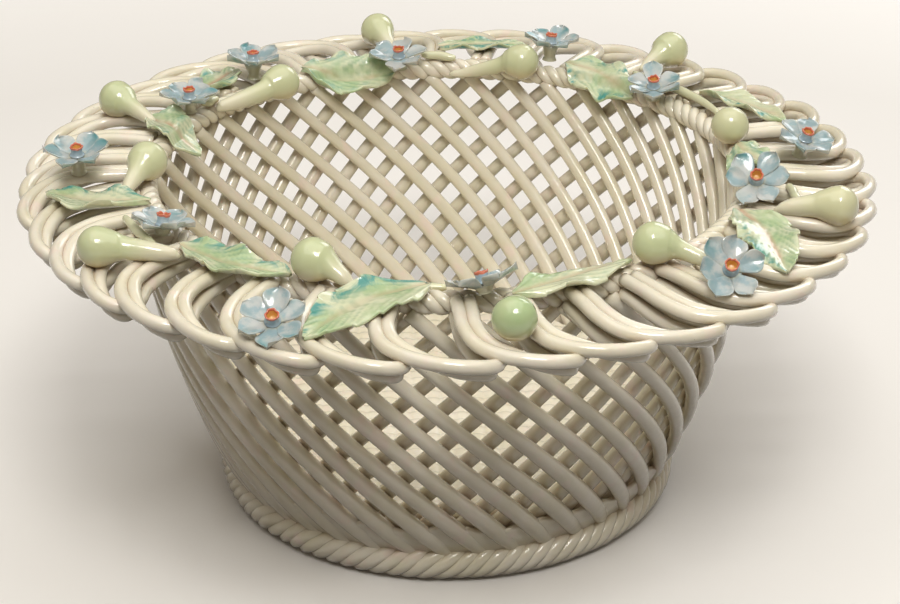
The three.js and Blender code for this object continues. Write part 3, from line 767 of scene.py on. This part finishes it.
def flower(index, lean, toward, spin, height):
    rng = np.random.default_rng(SEED + 300 + index)
    name, centre_name = f"flower_{index + 1:02d}", f"flower_centre_{index + 1:02d}"
    matrix = lean_matrix(lean, toward)
    middle = np.mean([tuple(corner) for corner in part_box(centre_name)], 0) / MM
    base = middle - matrix @ (0, 0, height + CORONA_MIDDLE)

    def placed(points):
        return points @ matrix.T + base

    soup = Soup()
    funnel = spline(FUNNEL_PROFILE, FUNNEL_STATIONS)
    funnel[:, 1] *= height - 0.7
    points = turned(funnel, FUNNEL_SIDES)
    marks = painted(points.shape, green=1 - smooth(0.5 * height, height, points[..., 2]))
    soup.grid(placed(points), marks)
    lift = rng.uniform(0.5, 1.7)
    for number in range(PETALS):
        turn = spin + 360 / PETALS * number + rng.normal() * 4
        points, marks = petal(rng, turn, lift + rng.normal() * 0.4 + 0.3 * (number % 2), height)
        soup.grid(placed(points), marks)
    soup.build("petals_" + name, PETAL, name)

    points = turned(spline(CORONA_PROFILE, CORONA_STATIONS) + (0, height), CORONA_SIDES)
    above = points[..., 2] - height
    angle = circle(CORONA_SIDES)
    ripple = 0.06 * np.sin(3 * angle + rng.random() * 6) + 0.05 * np.sin(7 * angle + rng.random() * 6)
    high = smooth(0.9, 2.3, above)
    marks = painted(
        points.shape,
        red=smooth(1.4, 1.95, above),
        green=(np.arange(CORONA_STATIONS) < CORONA_INSIDE)[:, None],
    )
    points[..., :2] *= 1 + (ripple * high)[..., None]
    points[..., 2] += high * (0.1 * rng.normal() + 1.6 * ripple)
    soup = Soup()
    soup.grid(placed(points[::-1]), marks[::-1])
    soup.build("corona_" + centre_name, CORONA, centre_name)


for number, place in enumerate(FLOWERS):
    flower(number, *place)


# Leaves
def drape(reach):
    """Height of what a leaf lies on; inside the rope it hangs down."""
    return perch(reach) - LEAF_DROOP * np.maximum(0, ROPE_RADIUS - ROPE_HALF - reach)


def tooth_line(rng, share, count):
    """Width share along an edge with uneven teeth that point to the tip."""
    ends = np.cumsum(rng.uniform(0.6, 1.4, count))
    ends = np.concatenate([[0], ends / ends[-1]])
    at = np.clip(np.searchsorted(ends, share, side="left"), 1, count)
    phase = (share - ends[at - 1]) / (ends[at] - ends[at - 1])
    return 1 - TOOTH_DEPTH * (1 - phase) ** 1.5 * smooth(0.02, 0.15, share)


def leaf(index, turn, reach, aim, length, width):
    rng = np.random.default_rng(SEED + 400 + index)
    name = f"leaf_{index + 1:02d}"
    line = np.linspace(0, 1, LEAF_STATIONS)
    outline = np.interp(line, *zip(*LEAF_OUTLINE))[:, None]
    share = line[:, None]

    # Outline: side is -1 at the right edge and 1 at the left one, and far is 1 at both
    angle = circle(LEAF_SIDES)
    side = np.broadcast_to(fuller(np.cos(angle), 0.8), (LEAF_STATIONS, LEAF_SIDES))
    far = np.abs(side)
    count = max(4, round(length / TOOTH_LENGTH))
    left, right = tooth_line(rng, line, count)[:, None], tooth_line(rng, line, count)[:, None]
    half = outline * width / 2 * (1 - (1 - np.where(side > 0, left, right)) * far**2)
    across = half * side + wobble(rng, share, 0.4, 2)
    along = (share - 0.5) * length + 0.9 * far**2
    bend = 1.4 * rng.normal() * np.sin(np.pi * share)
    centre = ring_point(turn, reach)
    x, y = aimed(along, across + bend, aim)
    x, y = x + centre[0], y + centre[1]

    # Veins that slant to the tip, and a sunken rib
    run = share * length - VEIN_SLANT * np.abs(across) + 1.1 * wobble(rng, share, 0.5, 3)
    veins = np.cos(2 * np.pi * run / VEIN_PITCH + 1.5 * (side > 0)) * (0.7 + 0.3 * np.cos(run * 0.9 + index))
    rib = np.exp(-((across / RIB_WIDTH) ** 2))

    # Each side curls and waves on its own, over what the leaf lies on
    ruffle = 0
    for sign in (-1, 1):
        wave = np.sin(2 * np.pi * (rng.uniform(1.8, 2.8) * share + rng.random()))
        curl = rng.uniform(-0.2, 0.9) + rng.uniform(0.5, 0.9) * wave + wobble(rng, share, 0.25, 4)
        ruffle = ruffle + curl * far**2.5 * (side * sign > 0)
    ground = np.apply_along_axis(blurred, 0, drape(np.hypot(x, y)), 9)
    dish = 0.9 * far**1.5
    surface = ground + 0.75 + dish * outline + np.maximum(ruffle, -dish) * (0.4 + outline)

    top = np.sin(angle)
    body = np.abs(top) ** 0.6
    relief = VEIN_RELIEF * veins * (1 - rib) * smooth(0.02, 0.3, far) - RIB_DEPTH * rib
    z = surface + np.where(top > 0, 0.8 * body + relief * body, -0.6 * body)

    strength, edge = LEAF_TEAL[index]
    toward = far if edge == 0 else side * edge
    marks = painted(
        z.shape,
        red=rib * smooth(1.0, 0.75, share) * (0.9 if index in PINK_RIBBED_LEAVES else 0.45),
        green=smooth(0.35, -0.7, veins) * (1 - rib) * smooth(0.98, 0.72, far),
        blue=strength * smooth(0.2, 0.75, toward) * smooth(1.0, 0.93, far),
    )
    soup = Soup()
    soup.grid(np.stack([x, y, z], -1), marks)
    soup.build("veined_" + name, LEAF, name)


for number, place in enumerate(LEAVES):
    leaf(number, *place)


# Stage: a pale floor that throws little light back at the basket. It fades into a pale world between two
# distances from the middle, in metres.
FLOOR_PALE = (0.9, 0.89, 0.87, 1)
FLOOR_BOUNCE = (0.09, 0.085, 0.08, 1)
WORLD_PALE = (0.97, 0.98, 1.0, 1)
WORLD_FILL = (1.0, 0.86, 0.69, 1)
WORLD_PALE_STRENGTH = 0.95
WORLD_FILL_STRENGTH = 0.25
FADE_START, FADE_END = 0.3, 1.1


def stage_floor():
    bpy.ops.mesh.primitive_plane_add(size=6.0, location=(0, 0, 0))
    floor = bpy.context.object
    floor.name = "studio_floor"
    paint = Paint("studio_floor")
    path = paint.node("LightPath", {}).outputs
    seen = paint.math("MAXIMUM", path["Is Camera Ray"], path["Is Glossy Ray"])
    position = paint.node("NewGeometry", {}).outputs["Position"]
    distance = paint.node("VectorMath", {0: position}, operation="LENGTH").outputs["Value"]
    far = paint.ramp(distance, FADE_START, FADE_END, kind="LINEAR")
    values = {
        "Base Color": paint.mix(seen, FLOOR_BOUNCE, FLOOR_PALE),
        "Roughness": 0.75,
        "Specular IOR Level": 0.25,
        "Emission Color": FLOOR_PALE,
        "Emission Strength": paint.math("MULTIPLY", far, path["Is Camera Ray"]),
    }
    for key, value in values.items():
        paint.put(value, paint.shader.inputs[key])
    floor.data.materials.append(paint.material)


def stage_world():
    world = bpy.data.worlds.new("studio")
    bpy.context.scene.world = world
    nodes = Nodes(world)
    seen = nodes.node("LightPath", {}).outputs["Is Camera Ray"]
    strength = nodes.ramp(seen, 0.0, 1.0, WORLD_FILL_STRENGTH, WORLD_PALE_STRENGTH, kind="LINEAR")
    background = nodes.tree.nodes["Background"]
    nodes.put(nodes.mix(seen, WORLD_FILL, WORLD_PALE), background.inputs["Color"])
    nodes.put(strength, background.inputs["Strength"])


def lamp(name, place, target, size, power, colour):
    """A square lamp; places and the size are in metres."""
    data = bpy.data.lights.new(name, "AREA")
    data.shape = "SQUARE"
    data.size = size
    data.energy = power
    data.color = colour
    light = bpy.data.objects.new(name, data)
    light.location = place
    way = Vector(target) - Vector(place)
    light.rotation_mode = "QUATERNION"
    light.rotation_quaternion = way.to_track_quat("-Z", "Y")
    bpy.context.scene.collection.objects.link(light)


stage_floor()
stage_world()
lamp("overhead", (0.0, -0.1, 1.1), (0, 0, 0.05), size=1.4, power=7.6, colour=(1.0, 0.98, 0.945))
lamp("key", (0.06, -0.52, 0.85), (0, 0, 0.06), size=0.3, power=4.1, colour=(1.0, 0.97, 0.92))
lamp("back", (0.5, 0.8, 0.6), (0, 0, 0.05), size=0.5, power=2.4, colour=(0.97, 0.98, 1.0))

# Camera, at the photograph's viewing angle
camera_data = bpy.data.cameras.new("camera")
camera_data.sensor_width = 36.0
camera_data.lens = 85.49
camera = bpy.data.objects.new("camera", camera_data)
camera.location = (0.00071, -0.4669, 0.2738)
camera.rotation_euler = (math.radians(63.874), 0, 0)
bpy.context.scene.collection.objects.link(camera)
bpy.context.scene.camera = camera
bpy.context.scene.view_settings.view_transform = "Standard"
